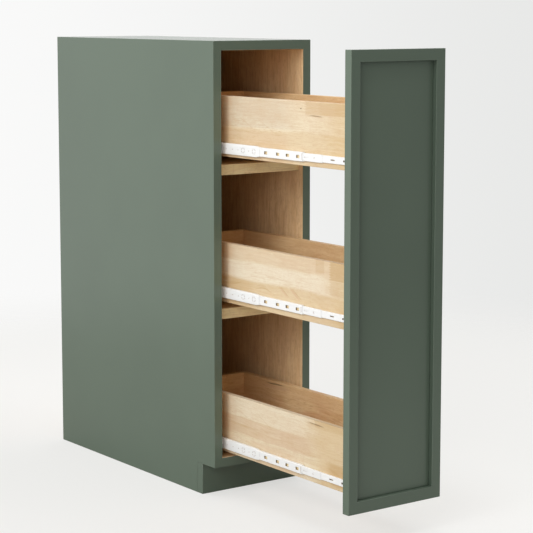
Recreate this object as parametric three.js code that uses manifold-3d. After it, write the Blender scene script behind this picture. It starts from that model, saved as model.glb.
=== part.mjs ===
// A narrow pull-out base cabinet: a painted carcass whose tall front carries three drawer boxes
// out together on six nested ball-bearing slides. It is shown part-way open.
// Millimetres, +Z up, the front faces -Y, origin at the middle of the footprint on the floor.

import * as THREE from 'three';
import { mergeVertices } from 'three/addons/utils/BufferGeometryUtils.js';
import Module from 'manifold-3d';

const wasm = await Module();
wasm.setup();

// Clearance left between two pieces that touch or fit into each other.
const GAP = 0.3;

// How far a cutting tool runs past the surface that it cuts through.
const OVERCUT = 1;

// Carcass
const CARCASS_WIDTH = 228.6;
const CARCASS_DEPTH = 586.5;
const CARCASS_HEIGHT = 876.3;
const BOARD = 18;
const SHELF_THICKNESS = 20;
const SHELF_SETBACK = 13.4;
const SHELF_TOPS = { upper: 642.4, lower: 366 };
const TOE_HEIGHT = 60;
const TOE_SETBACK = 42;
const BACK_THICKNESS = 6;
const BACK_GROOVE_DEPTH = 6;
const NAILER_HEIGHT = 90;

// Pull-out: how far it stands open, and the shaker front that it hangs on
const OPENING = 382.3;
const FRONT_WIDTH = 212;
const FRONT_THICKNESS = 17;
const FRONT_BOTTOM = 59.2;
const FRONT_TOP = 867.2;
const STILE_WIDTH = 20;
const TOP_RAIL_HEIGHT = 21;
const BOTTOM_RAIL_HEIGHT = 22;
const RECESS_DEPTH = 9;
const TONGUE_LENGTH = 6;
const TONGUE_THICKNESS = 3;

// Drawer boxes
const DRAWER_WIDTH = 154.5;
const DRAWER_LENGTH = 550;
const DRAWER_HEIGHT = 114.8;
const DRAWER_BOARD = 12;
const DRAWER_FLOOR_THICKNESS = 6;
const DRAWER_FLOOR_RISE = 12;
const DRAWER_GROOVE_DEPTH = 6;
const DRAWER_BASES = { upper: 657.8, middle: 378, lower: 84.8 };

// Slides. Each member is a channel that opens towards the drawer. "outer" is how far its web's
// outer face stands off the drawer side, and "reach" is where its flanges end.
const SLIDE_HEIGHTS = { upper: 674, middle: 397.9, lower: 102.8 };
const CABINET_MEMBER = { height: 23.4, outer: 18.75, reach: 1, web: 1.2, flange: 1, length: 550 };
const OUTER_CAGE = { height: 20.8, outer: 7.2, reach: 2, web: 0.6, flange: 0.6, length: 240 };
const INTERMEDIATE = { height: 17.2, outer: 6.3, reach: 0.8, web: 1.2, flange: 1, length: 540 };
const INNER_CAGE = { height: 14.6, outer: 4.8, reach: 1.6, web: 0.5, flange: 0.5, length: 180 };
const DRAWER_MEMBER = { height: 13.2, outer: 4, reach: GAP, web: 1.2, flange: 1.2, length: 549.4 };

// Where each member's front end stands, measured back from the carcass front edge.
const CABINET_MEMBER_FRONT = 2.5;
const OUTER_CAGE_FRONT = -104.5;
const INTERMEDIATE_FRONT = -234;
const INNER_CAGE_FRONT = -288.5;
const DRAWER_MEMBER_FRONT = GAP - OPENING;

// Windows through the intermediate member, measured back from its front end. The inner cage and
// the drawer member have longer windows behind them.
const WINDOW_SETBACKS = [13.3, 44, 73.5, 110.3];
const WINDOW_LENGTH = 9;
const WINDOW_HEIGHT = 5.5;
const WINDOW_FRONT_MARGIN = 1;
const INNER_CAGE_WINDOW = { extra: 3, height: 6.5 };
const DRAWER_MEMBER_WINDOW = { extra: 5.5, height: 7.5 };

// Fixing slot and locating holes near the front ends of the two inner members
const SLOT_LENGTH = 11;
const SLOT_HEIGHT = 2;
const SLOT_END_RADIUS = 2;
const HOLE_RADIUS = 2;
const HOLE_SIDES = 16;
const DRAWER_MEMBER_SLOT_SETBACK = 63.5;
const DRAWER_MEMBER_HOLE_SETBACK = 32.4;
const INNER_CAGE_SLOT_SETBACK = 44.3;
const INNER_CAGE_HOLE_SETBACK = 20.9;

const halfWidth = CARCASS_WIDTH / 2;
const innerHalfWidth = halfWidth - BOARD;
const totalLength = CARCASS_DEPTH + OPENING + FRONT_THICKNESS;
const carcassFrontY = totalLength / 2 - CARCASS_DEPTH;
const backPanelY = CARCASS_DEPTH - BOARD - BACK_THICKNESS - GAP;
const backPanelBottom = TOE_HEIGHT + BOARD + GAP;
const backPanelTop = CARCASS_HEIGHT - BOARD - GAP;
const drawerHalfWidth = DRAWER_WIDTH / 2;

function paint(color) {
  return new THREE.MeshStandardMaterial({ color, roughness: 0.45, metalness: 0 });
}

function wood(color) {
  return new THREE.MeshStandardMaterial({ color, roughness: 0.6, metalness: 0 });
}

function metal(color) {
  return new THREE.MeshStandardMaterial({ color, roughness: 0.4, metalness: 0.2 });
}

const GREEN = 0x5f6f60;
const BIRCH = 0xe0c79c;
const PLYWOOD = 0xc9a36d;
const WHITE = 0xf0f0ee;

// A box between two opposite corners.
function block([x0, y0, z0], [x1, y1, z1]) {
  const box = new THREE.BoxGeometry(x1 - x0, y1 - y0, z1 - z0);
  box.translate((x0 + x1) / 2, (y0 + y1) / 2, (z0 + z1) / 2);
  return box;
}

// A prism whose cross-section is drawn across (x, z) and which runs back from y = 0.
function prism(outline, length) {
  const shape = new THREE.Shape(outline.map(([x, z]) => new THREE.Vector2(x, z)));
  const geometry = new THREE.ExtrudeGeometry(shape, { depth: length, bevelEnabled: false });
  geometry.rotateX(Math.PI / 2);
  geometry.translate(0, length, 0);
  return geometry;
}

function toSolid(geometry) {
  const bare = geometry.clone();
  bare.deleteAttribute('normal');
  bare.deleteAttribute('uv');
  const merged = mergeVertices(bare);
  const vertProperties = new Float32Array(merged.attributes.position.array);
  const triVerts = new Uint32Array(merged.index.array);
  return new wasm.Manifold(new wasm.Mesh({ numProp: 3, vertProperties, triVerts }));
}

function toGeometry(solid) {
  const mesh = solid.getMesh();
  const geometry = new THREE.BufferGeometry();
  geometry.setAttribute('position', new THREE.BufferAttribute(mesh.vertProperties, 3));
  geometry.setIndex(new THREE.BufferAttribute(mesh.triVerts, 1));
  geometry.computeVertexNormals();
  return geometry;
}

function cut(geometry, tools) {
  return toGeometry(tools.reduce((solid, tool) => solid.subtract(toSolid(tool)), toSolid(geometry)));
}

function join(geometry, additions) {
  return toGeometry(additions.reduce((solid, more) => solid.add(toSolid(more)), toSolid(geometry)));
}

function place(group, name, geometry, material, x = 0, y = 0, z = 0) {
  const mesh = new THREE.Mesh(geometry, material);
  mesh.name = name;
  mesh.position.set(x, y, z);
  group.add(mesh);
}

// ---- Carcass: y runs back from its front edge ----

// A side panel with the toe notch cut out of its front bottom corner and a groove for the back.
function sidePanel(side) {
  const x0 = -BOARD / 2;
  const x1 = BOARD / 2;
  const notch = block(
    [x0 - OVERCUT, -OVERCUT, -OVERCUT],
    [x1 + OVERCUT, TOE_SETBACK + BOARD + GAP, TOE_HEIGHT + GAP],
  );
  const grooveFloor = side * (BACK_GROOVE_DEPTH - x1);
  const grooveMouth = -side * (x1 + OVERCUT);
  const groove = block(
    [Math.min(grooveFloor, grooveMouth), backPanelY - GAP, backPanelBottom - GAP],
    [Math.max(grooveFloor, grooveMouth), backPanelY + BACK_THICKNESS + GAP, backPanelTop + GAP],
  );
  const board = block([x0, 0, 0], [x1, CARCASS_DEPTH, CARCASS_HEIGHT]);
  return cut(board, [notch, groove]);
}

// A level board between the two sides, from the front setback to the back panel.
function levelBoard(thickness, setback, depth) {
  const x = innerHalfWidth - GAP;
  return block([-x, setback, -thickness], [x, depth, 0]);
}

function buildCarcass() {
  const carcass = new THREE.Group();
  carcass.position.y = carcassFrontY;
  const painted = paint(GREEN);
  const veneer = wood(PLYWOOD);
  const sideX = halfWidth - BOARD / 2;
  place(carcass, 'left_side_panel', sidePanel(-1), painted, -sideX);
  place(carcass, 'right_side_panel', sidePanel(1), painted, sideX);

  const boardDepth = backPanelY - GAP;
  const top = levelBoard(BOARD, 0, CARCASS_DEPTH);
  place(carcass, 'top_panel', top, painted, 0, 0, CARCASS_HEIGHT);
  const bottom = levelBoard(BOARD - GAP, 0, CARCASS_DEPTH);
  place(carcass, 'bottom_panel', bottom, painted, 0, 0, TOE_HEIGHT + BOARD);
  for (const [level, z] of Object.entries(SHELF_TOPS)) {
    const shelf = levelBoard(SHELF_THICKNESS, SHELF_SETBACK, boardDepth);
    place(carcass, `${level}_shelf`, shelf, veneer, 0, 0, z);
  }

  const grooveX = innerHalfWidth + BACK_GROOVE_DEPTH - GAP;
  const back = block(
    [-grooveX, backPanelY, backPanelBottom],
    [grooveX, backPanelY + BACK_THICKNESS, backPanelTop],
  );
  place(carcass, 'back_panel', back, veneer);

  const nailerX = innerHalfWidth - GAP;
  const nailerY = backPanelY + BACK_THICKNESS + GAP;
  const nailer = block([-nailerX, nailerY, 0], [nailerX, CARCASS_DEPTH, NAILER_HEIGHT]);
  place(carcass, 'upper_nailer', nailer, veneer, 0, 0, backPanelTop - NAILER_HEIGHT);
  place(carcass, 'lower_nailer', nailer.clone(), veneer, 0, 0, backPanelBottom);

  const toeBoard = block([-halfWidth, 0, 0], [halfWidth, BOARD, TOE_HEIGHT]);
  place(carcass, 'toe_kick_board', toeBoard, painted, 0, TOE_SETBACK);
  return carcass;
}

// ---- Shaker front: y runs back from its face, z up from its bottom edge ----

const frontHeight = FRONT_TOP - FRONT_BOTTOM;
const panelThickness = FRONT_THICKNESS - RECESS_DEPTH;
const tongueY = RECESS_DEPTH + (panelThickness - TONGUE_THICKNESS) / 2;

// The groove that takes the panel's tongue, cut into a frame member's inner edge.
function tongueGroove(x0, x1, z0, z1) {
  return block(
    [x0, tongueY - GAP, z0],
    [x1, tongueY + TONGUE_THICKNESS + GAP, z1],
  );
}

function stile(side) {
  const edge = side * (FRONT_WIDTH / 2 - STILE_WIDTH);
  const outer = (side * FRONT_WIDTH) / 2;
  const floor = edge + side * (TONGUE_LENGTH + GAP);
  const mouth = edge - side * OVERCUT;
  const board = block(
    [Math.min(edge, outer), 0, 0],
    [Math.max(edge, outer), FRONT_THICKNESS, frontHeight],
  );
  const groove = tongueGroove(
    Math.min(floor, mouth),
    Math.max(floor, mouth),
    BOTTOM_RAIL_HEIGHT - TONGUE_LENGTH - GAP,
    frontHeight - TOP_RAIL_HEIGHT + TONGUE_LENGTH + GAP,
  );
  return cut(board, [groove]);
}

const railHalfLength = FRONT_WIDTH / 2 - STILE_WIDTH - GAP;
const railCutX = railHalfLength + OVERCUT;

function topRail() {
  const z = frontHeight - TOP_RAIL_HEIGHT;
  const board = block([-railHalfLength, 0, z], [railHalfLength, FRONT_THICKNESS, frontHeight]);
  return cut(board, [
    tongueGroove(-railCutX, railCutX, z - OVERCUT, z + TONGUE_LENGTH + GAP),
  ]);
}

function bottomRail() {
  const z = BOTTOM_RAIL_HEIGHT;
  const board = block([-railHalfLength, 0, 0], [railHalfLength, FRONT_THICKNESS, z]);
  return cut(board, [
    tongueGroove(-railCutX, railCutX, z - TONGUE_LENGTH - GAP, z + OVERCUT),
  ]);
}

function centrePanel() {
  const z0 = BOTTOM_RAIL_HEIGHT + GAP;
  const z1 = frontHeight - TOP_RAIL_HEIGHT - GAP;
  const body = block([-railHalfLength, RECESS_DEPTH, z0], [railHalfLength, FRONT_THICKNESS, z1]);
  const tongue = block(
    [-railHalfLength - TONGUE_LENGTH, tongueY, z0 - TONGUE_LENGTH],
    [railHalfLength + TONGUE_LENGTH, tongueY + TONGUE_THICKNESS, z1 + TONGUE_LENGTH],
  );
  return join(body, [tongue]);
}

function buildFront() {
  const front = new THREE.Group();
  front.position.set(0, carcassFrontY - OPENING - FRONT_THICKNESS, FRONT_BOTTOM);
  const painted = paint(GREEN);
  place(front, 'front_left_stile', stile(-1), painted);
  place(front, 'front_right_stile', stile(1), painted);
  place(front, 'front_top_rail', topRail(), painted);
  place(front, 'front_bottom_rail', bottomRail(), painted);
  place(front, 'front_panel', centrePanel(), painted);
  return front;
}

// ---- Drawer boxes: y runs back from the face that meets the front, z up from the bottom edge ----

const floorBottom = DRAWER_FLOOR_RISE;
const floorTop = DRAWER_FLOOR_RISE + DRAWER_FLOOR_THICKNESS;

function drawerSide(side) {
  const inner = side * (drawerHalfWidth - DRAWER_BOARD);
  const outer = side * drawerHalfWidth;
  const grooveFloor = inner + side * (DRAWER_GROOVE_DEPTH + GAP);
  const grooveMouth = inner - side * OVERCUT;
  const board = block(
    [Math.min(inner, outer), GAP, 0],
    [Math.max(inner, outer), DRAWER_LENGTH, DRAWER_HEIGHT],
  );
  const grooveStart = DRAWER_BOARD - DRAWER_GROOVE_DEPTH - GAP;
  const groove = block(
    [Math.min(grooveFloor, grooveMouth), grooveStart, floorBottom - GAP],
    [Math.max(grooveFloor, grooveMouth), DRAWER_LENGTH - grooveStart, floorTop + GAP],
  );
  return cut(board, [groove]);
}

// The cross board at one end of a box, between its sides, grooved on the face that looks inwards.
function drawerEnd(y0, y1, grooveY0, grooveY1) {
  const x = drawerHalfWidth - DRAWER_BOARD - GAP;
  const board = block([-x, y0, 0], [x, y1, DRAWER_HEIGHT]);
  const cutX = x + OVERCUT;
  const groove = block([-cutX, grooveY0, floorBottom - GAP], [cutX, grooveY1, floorTop + GAP]);
  return cut(board, [groove]);
}

function drawerFloor() {
  const x = drawerHalfWidth - DRAWER_BOARD + DRAWER_GROOVE_DEPTH;
  const y = DRAWER_BOARD - DRAWER_GROOVE_DEPTH;
  return block([-x, y, floorBottom], [x, DRAWER_LENGTH - y, floorTop]);
}

function buildDrawers() {
  const drawers = new THREE.Group();
  drawers.position.y = carcassFrontY - OPENING;
  const birch = wood(BIRCH);
  const innerBack = DRAWER_LENGTH - DRAWER_BOARD;
  const frontGroove = [DRAWER_BOARD - DRAWER_GROOVE_DEPTH - GAP, DRAWER_BOARD + OVERCUT];
  const backGroove = [innerBack - OVERCUT, innerBack + DRAWER_GROOVE_DEPTH + GAP];
  for (const [level, z] of Object.entries(DRAWER_BASES)) {
    const front = drawerEnd(GAP, DRAWER_BOARD, ...frontGroove);
    const back = drawerEnd(innerBack, DRAWER_LENGTH, ...backGroove);
    place(drawers, `${level}_drawer_left_side`, drawerSide(-1), birch, 0, 0, z);
    place(drawers, `${level}_drawer_right_side`, drawerSide(1), birch, 0, 0, z);
    place(drawers, `${level}_drawer_front`, front, birch, 0, 0, z);
    place(drawers, `${level}_drawer_back`, back, birch, 0, 0, z);
    place(drawers, `${level}_drawer_floor`, drawerFloor(), birch, 0, 0, z);
  }
  return drawers;
}

// ---- Slides: x runs outwards from the drawer side, y back from a member's front end ----

// The channel section shared by all five members, opening towards the drawer.
function channel({ height, outer, reach, web, flange, length }, side) {
  const h = height / 2;
  const inner = outer - web;
  const outline = [
    [reach, -h],
    [outer, -h],
    [outer, h],
    [reach, h],
    [reach, h - flange],
    [inner, h - flange],
    [inner, flange - h],
    [reach, flange - h],
  ];
  return prism(outline.map(([x, z]) => [side * x, z]), length);
}

// A tool that cuts a rectangular opening through a member's web.
function rectangularCut({ outer, web }, side, y0, y1, height) {
  const x0 = side * (outer - web - OVERCUT);
  const x1 = side * (outer + OVERCUT);
  return block([Math.min(x0, x1), y0, -height / 2], [Math.max(x0, x1), y1, height / 2]);
}

// A tool that drills a round hole through a member's web.
function roundCut({ outer, web }, side, y, radius) {
  const drill = new THREE.CylinderGeometry(radius, radius, web + 2 * OVERCUT, HOLE_SIDES);
  drill.rotateZ(Math.PI / 2);
  drill.translate(side * (outer - web / 2), y, 0);
  return drill;
}

// Windows behind those of the intermediate member, for a member whose front end is at frontY.
function windowsBehind(member, side, frontY, { extra, height }) {
  return WINDOW_SETBACKS.map((setback) => {
    const y = INTERMEDIATE_FRONT + setback - frontY;
    const y0 = y - WINDOW_LENGTH / 2 - WINDOW_FRONT_MARGIN;
    return rectangularCut(member, side, y0, y + WINDOW_LENGTH / 2 + extra, height);
  });
}

function intermediateMember(side) {
  const windows = WINDOW_SETBACKS.map((y) => {
    const half = WINDOW_LENGTH / 2;
    return rectangularCut(INTERMEDIATE, side, y - half, y + half, WINDOW_HEIGHT);
  });
  return cut(channel(INTERMEDIATE, side), windows);
}

function innerCage(side) {
  const slotFront = INNER_CAGE_SLOT_SETBACK - SLOT_LENGTH / 2;
  return cut(channel(INNER_CAGE, side), [
    ...windowsBehind(INNER_CAGE, side, INNER_CAGE_FRONT, INNER_CAGE_WINDOW),
    rectangularCut(INNER_CAGE, side, slotFront, slotFront + SLOT_LENGTH, SLOT_HEIGHT),
    roundCut(INNER_CAGE, side, INNER_CAGE_HOLE_SETBACK, HOLE_RADIUS),
  ]);
}

function drawerMember(side) {
  const slotFront = DRAWER_MEMBER_SLOT_SETBACK - SLOT_LENGTH / 2;
  const slotBack = slotFront + SLOT_LENGTH;
  return cut(channel(DRAWER_MEMBER, side), [
    ...windowsBehind(DRAWER_MEMBER, side, DRAWER_MEMBER_FRONT, DRAWER_MEMBER_WINDOW),
    rectangularCut(DRAWER_MEMBER, side, slotFront, slotBack, SLOT_HEIGHT),
    roundCut(DRAWER_MEMBER, side, slotFront, SLOT_END_RADIUS),
    roundCut(DRAWER_MEMBER, side, slotBack, SLOT_END_RADIUS),
    roundCut(DRAWER_MEMBER, side, DRAWER_MEMBER_HOLE_SETBACK, HOLE_RADIUS),
  ]);
}

function buildSlides() {
  const slides = new THREE.Group();
  slides.position.y = carcassFrontY;
  const white = metal(WHITE);
  const hands = { left: -1, right: 1 };
  for (const [level, z] of Object.entries(SLIDE_HEIGHTS)) {
    for (const [hand, side] of Object.entries(hands)) {
      const name = `${level}_${hand}_slide`;
      const x = side * drawerHalfWidth;
      const cabinetMember = channel(CABINET_MEMBER, side);
      const outerCage = channel(OUTER_CAGE, side);
      place(slides, `${name}_cabinet_member`, cabinetMember, white, x, CABINET_MEMBER_FRONT, z);
      place(slides, `${name}_outer_cage`, outerCage, white, x, OUTER_CAGE_FRONT, z);
      place(slides, `${name}_intermediate`, intermediateMember(side), white, x, INTERMEDIATE_FRONT, z);
      place(slides, `${name}_inner_cage`, innerCage(side), white, x, INNER_CAGE_FRONT, z);
      place(slides, `${name}_drawer_member`, drawerMember(side), white, x, DRAWER_MEMBER_FRONT, z);
    }
  }
  return slides;
}

const cabinet = new THREE.Group();
cabinet.add(buildCarcass());
cabinet.add(buildFront());
cabinet.add(buildDrawers());
cabinet.add(buildSlides());

export default cabinet;
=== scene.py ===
import math
import random

import bmesh
import bpy
from mathutils import Matrix, Vector


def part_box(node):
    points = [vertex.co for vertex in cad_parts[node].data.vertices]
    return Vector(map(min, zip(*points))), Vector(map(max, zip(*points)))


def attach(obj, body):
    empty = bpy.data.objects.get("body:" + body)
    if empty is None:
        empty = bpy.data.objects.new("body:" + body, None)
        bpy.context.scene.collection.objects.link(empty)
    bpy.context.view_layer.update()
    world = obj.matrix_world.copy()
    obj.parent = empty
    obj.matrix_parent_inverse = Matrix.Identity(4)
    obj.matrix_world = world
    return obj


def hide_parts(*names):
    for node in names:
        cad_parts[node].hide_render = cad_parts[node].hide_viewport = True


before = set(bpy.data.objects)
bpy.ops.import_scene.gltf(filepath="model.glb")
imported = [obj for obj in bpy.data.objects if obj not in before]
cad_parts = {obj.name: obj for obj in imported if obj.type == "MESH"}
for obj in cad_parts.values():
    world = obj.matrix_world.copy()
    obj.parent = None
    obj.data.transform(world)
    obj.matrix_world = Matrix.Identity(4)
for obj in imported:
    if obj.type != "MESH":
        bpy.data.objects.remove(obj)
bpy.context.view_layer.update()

MM = 0.001
# The gap between neighbouring CAD solids, which the pieces close where the real ones meet.
GAP = 0.3 * MM
# Two places closer than this are the same place: before and after the edges are softened.
NEAR = 0.1 * MM
TOUCH = 0.01 * MM
LEVELS = ("upper", "middle", "lower")
SIDES = {"left": -1, "right": 1}

# How wide each kind of edge is softened.
PAINT_ARRIS = 0.5 * MM
SHAKER_ARRIS = 0.6 * MM
TIMBER_ARRIS = 0.8 * MM
VENEER_ARRIS = 0.3 * MM

scene = bpy.context.scene


# ---- Camera, light and floor ----

CAMERA_PLACE = (-1.97893, -2.81443, 0.93684)
CAMERA_YAW = 0.63091
CAMERA_PITCH = math.radians(7.3256)
FOCAL_LENGTH = 118.99
SENSOR_WIDTH = 36.0
VERTICAL_SHIFT = -0.06


def make_camera():
    data = bpy.data.cameras.new("camera")
    data.sensor_width = SENSOR_WIDTH
    data.lens = FOCAL_LENGTH
    data.shift_y = VERTICAL_SHIFT
    data.clip_end = 100
    camera = bpy.data.objects.new("camera", data)
    camera.location = CAMERA_PLACE
    camera.rotation_euler = (math.pi / 2 - CAMERA_PITCH, 0, -CAMERA_YAW)
    scene.collection.objects.link(camera)
    scene.camera = camera


def area_light(name, place, target, size, power):
    data = bpy.data.lights.new(name, "AREA")
    data.shape = "RECTANGLE"
    data.size = size[0]
    data.size_y = size[1]
    data.energy = power
    light = bpy.data.objects.new(name, data)
    light.location = place
    aim = Vector(target) - Vector(place)
    light.rotation_euler = aim.to_track_quat("-Z", "Y").to_euler()
    scene.collection.objects.link(light)


def make_lights():
    area_light("left_softbox", (-3.2, -0.75, 2.5), (0, -0.1, 0.4), (1.4, 1.3), 36)
    area_light("front_left_softbox", (-2.8, -2.2, 1.9), (0, -0.1, 0.4), (1.6, 1.6), 17)
    area_light("front_right_softbox", (1.8, -3.2, 2.2), (0, -0.2, 0.4), (2.0, 2.0), 4)
    area_light("top_softbox", (0.0, -0.2, 3.4), (0, -0.2, 0.0), (2.4, 2.4), 40)


# ---- Node helpers ----

NOISE_RANGE = (0.3, 0.7)


class Graph:
    """The node tree of one new material or world, with short ways to add nodes to it."""

    def __init__(self, owner):
        owner.use_nodes = True
        self.tree = owner.node_tree
        self.tree.nodes.clear()

    def add(self, kind, inputs=None, **settings):
        made = self.tree.nodes.new(f"ShaderNode{kind}")
        for name, value in settings.items():
            setattr(made, name, value)
        for key, value in (inputs or {}).items():
            self.feed(made.inputs[key], value)
        return made

    def feed(self, socket, value):
        if isinstance(value, bpy.types.NodeSocket):
            self.tree.links.new(value, socket)
        else:
            socket.default_value = value

    def math(self, operation, *values, clamp=False):
        inputs = dict(enumerate(values))
        return self.add("Math", inputs, operation=operation, use_clamp=clamp).outputs[0]

    def split(self, vector):
        """A vector's three parts."""
        return self.add("SeparateXYZ", {0: vector}).outputs

    def vector(self, operation, *values):
        inputs = dict(enumerate(values))
        return self.add("VectorMath", inputs, operation=operation).outputs[0]

    def product(self, *values):
        return self.math("MULTIPLY", *values)

    def stretched(self, vector, scales, **settings):
        """Noise over a vector whose three parts are scaled on their own."""
        return self.noise(self.vector("MULTIPLY", vector, scales), **settings)

    def spread(self, noise, start=0.0, end=1.0):
        """A noise's usual range, spread between two values."""
        return self.smooth(noise, *NOISE_RANGE, start, end)

    def object_place(self):
        return self.add("TexCoord").outputs["Object"]

    def attribute(self, name, output):
        return self.add("Attribute", attribute_name=name).outputs[output]

    def noise(self, vector, scale=1.0, detail=2.0, roughness=0.5, distortion=0.0):
        inputs = {"Vector": vector, "Scale": scale, "Detail": detail}
        grain = {"Roughness": roughness, "Distortion": distortion}
        return self.add("TexNoise", inputs | grain).outputs[0]

    def smooth(self, value, low, high, start=0.0, end=1.0):
        inputs = {"Value": value, "From Min": low, "From Max": high, "To Min": start, "To Max": end}
        return self.add("MapRange", inputs, interpolation_type="SMOOTHSTEP").outputs[0]

    def mix(self, factor, first, second):
        made = self.add("Mix", data_type="RGBA")
        self.feed(made.inputs["Factor"], factor)
        self.feed(made.inputs["A"], first)
        self.feed(made.inputs["B"], second)
        return made.outputs["Result"]

    def bump(self, height, strength, distance):
        inputs = {"Height": height, "Strength": strength, "Distance": distance}
        return self.add("Bump", inputs).outputs[0]

    def surface(self, **inputs):
        spaced = {name.replace("_", " "): value for name, value in inputs.items()}
        shader = self.add("BsdfPrincipled", spaced)
        self.output(shader.outputs[0])

    def output(self, shader, kind="OutputMaterial"):
        self.add(kind, {"Surface": shader})


def new_material(name):
    material = bpy.data.materials.new(name)
    return material, Graph(material)


def rgb(red, green, blue):
    return (red, green, blue, 1.0)


def grey(level):
    return rgb(level, level, level)


# ---- World and floor ----

BACKGROUND_LEFT = rgb(0.95, 0.95, 0.945)
BACKGROUND_RIGHT = rgb(0.80, 0.805, 0.795)
BACKGROUND_TURN = (0.45, 0.75)

# How bright the studio's walls are round the object: the direction, in degrees from +X
# towards +Y, and the brightness. The camera's side is dark.
STUDIO_WALLS = (
    (0, 1.05),
    (75, 1.05),
    (130, 0.83),
    (155, 0.90),
    (180, 1.08),
    (202, 1.30),
    (225, 0.57),
    (247, 0.06),
    (292, 0.06),
    (315, 0.35),
    (337, 0.95),
    (360, 1.05),
)
STUDIO_CEILING = 0.38
WALL_TOP = (0.45, 0.85)


def studio_walls(graph, sideways, forwards):
    """The brightness of the walls in each direction, from a ramp that runs once round."""
    turn = graph.math("DIVIDE", graph.math("ARCTAN2", forwards, sideways), 2 * math.pi)
    turn = graph.math("FRACT", turn)
    ramp = graph.add("ValToRGB", {0: turn})
    stops = ramp.color_ramp.elements
    for stop, (degrees, level) in zip(stops, (STUDIO_WALLS[0], STUDIO_WALLS[-1])):
        stop.position = degrees / 360
        stop.color = grey(level)
    for degrees, level in STUDIO_WALLS[1:-1]:
        stops.new(degrees / 360).color = grey(level)
    return ramp.outputs["Color"]


def make_world():
    world = bpy.data.worlds.new("studio")
    graph = Graph(world)
    direction = graph.add("TexCoord").outputs["Generated"]
    sideways, forwards, up = graph.split(direction)
    turned = graph.smooth(sideways, *BACKGROUND_TURN)
    shown = graph.mix(turned, BACKGROUND_LEFT, BACKGROUND_RIGHT)
    walls = studio_walls(graph, sideways, forwards)
    lit = graph.mix(graph.smooth(up, *WALL_TOP), walls, grey(STUDIO_CEILING))
    camera_ray = graph.add("LightPath").outputs["Is Camera Ray"]
    colour = graph.mix(camera_ray, lit, shown)
    background = graph.add("Background", {"Color": colour, "Strength": 1.0})
    graph.output(background.outputs[0], "OutputWorld")
    scene.world = world
    scene.view_settings.view_transform = "Standard"


FLOOR_RADIUS = 2.6
FLOOR_FADE = (1.3, 2.55)
FLOOR_SEGMENTS = 96
FLOOR_COLOUR = rgb(0.93, 0.925, 0.905)
FLOOR_BOUNCE = rgb(0.56, 0.55, 0.53)
# The floor's glow to the eye is painted light: it lifts the cast shadows on the floor, and is dimmer
# to the left than to the right.
FLOOR_GLOW_LEFT = rgb(0.86, 0.855, 0.84)
FLOOR_GLOW_RIGHT = rgb(0.97, 0.965, 0.945)
FLOOR_GLOW_TURN = (-0.5, 0.1)
FLOOR_GLOW_SHARE = 0.62


def floor_material():
    """Pale card, which glows a little to the eye and fades out into the backdrop."""
    material, graph = new_material("studio_floor")
    place = graph.object_place()
    camera_ray = graph.add("LightPath").outputs["Is Camera Ray"]
    colour = graph.mix(camera_ray, FLOOR_BOUNCE, FLOOR_COLOUR)
    shader = graph.add("BsdfDiffuse", {"Color": colour})
    sideways, _, _ = graph.split(place)
    turned = graph.smooth(sideways, *FLOOR_GLOW_TURN)
    bright = graph.mix(turned, FLOOR_GLOW_LEFT, FLOOR_GLOW_RIGHT)
    glow = graph.add("Emission", {"Color": bright, "Strength": 1.0})
    share = graph.product(camera_ray, FLOOR_GLOW_SHARE)
    lit = graph.add("MixShader", {0: share, 1: shader.outputs[0], 2: glow.outputs[0]})
    reach = graph.add("VectorMath", {0: place}, operation="LENGTH").outputs["Value"]
    fade = graph.smooth(reach, *FLOOR_FADE)
    clear = graph.add("BsdfTransparent")
    blend = graph.add("MixShader", {0: fade, 1: lit.outputs[0], 2: clear.outputs[0]})
    graph.output(blend.outputs[0])
    return material


def make_floor():
    bm = bmesh.new()
    bmesh.ops.create_circle(bm, cap_ends=True, radius=FLOOR_RADIUS, segments=FLOOR_SEGMENTS)
    make_object("floor", bm, [floor_material()])


# ---- Materials ----

# Each material's deepest and palest tone.
CABINET_PAINT = (rgb(0.124, 0.166, 0.123), rgb(0.129, 0.173, 0.128))
# A darker copy of the cabinet paint for the faces inside the front's recess: painted shade, standing
# in for the shadow there.
RECESS_PAINTED_SHADE = (rgb(0.084, 0.113, 0.084), rgb(0.090, 0.121, 0.090))
COAT = (rgb(0.93, 0.93, 0.92), rgb(0.96, 0.96, 0.95))
# The cut faces' dark brown is partly the bare steel of a cut edge and partly painted shade, which
# darkens the windows and slits.
CUT_EDGE_AND_SHADE = (rgb(0.38, 0.26, 0.16), rgb(0.50, 0.37, 0.25))
ZINC = (rgb(0.55, 0.56, 0.57), rgb(0.75, 0.75, 0.73))
CLEAR_PLASTIC = (rgb(0.70, 0.71, 0.68), rgb(0.80, 0.81, 0.78))

THIN_PAINT = rgb(0.24, 0.28, 0.22)
THINNING = 0.25

# Each skin's mottle and texture scales, its range of roughness, and its bump's strength and height.
SATIN = {"scales": (5, 700), "gloss": (0.22, 0.26), "bump": (0.025, 0.2 * MM), "thin": THIN_PAINT}
POWDER = {"scales": (25, 1600), "gloss": (0.30, 0.42), "bump": (0.1, 0.05 * MM)}


def coated(name, tones, scales, gloss, bump, thin=None):
    """A sprayed skin: faintly mottled, finely textured, and where asked thinner on the arrises."""
    material, graph = new_material(name)
    place = graph.object_place()
    mottle, peel = (graph.noise(place, scale) for scale in scales)
    colour = graph.mix(graph.spread(mottle), *tones)
    if thin:
        worn = graph.product(graph.attribute("arris", "Fac"), THINNING)
        colour = graph.mix(worn, colour, thin)
    graph.surface(
        Base_Color=colour,
        Roughness=graph.spread(peel, *gloss),
        Normal=graph.bump(peel, *bump),
    )
    return material


STRAW = rgb(0.71, 0.51, 0.26)
HONEY = rgb(0.58, 0.37, 0.16)
ROSE = rgb(0.68, 0.44, 0.27)
UMBER = rgb(0.22, 0.12, 0.06)
PALE = rgb(0.90, 0.80, 0.63)
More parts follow.
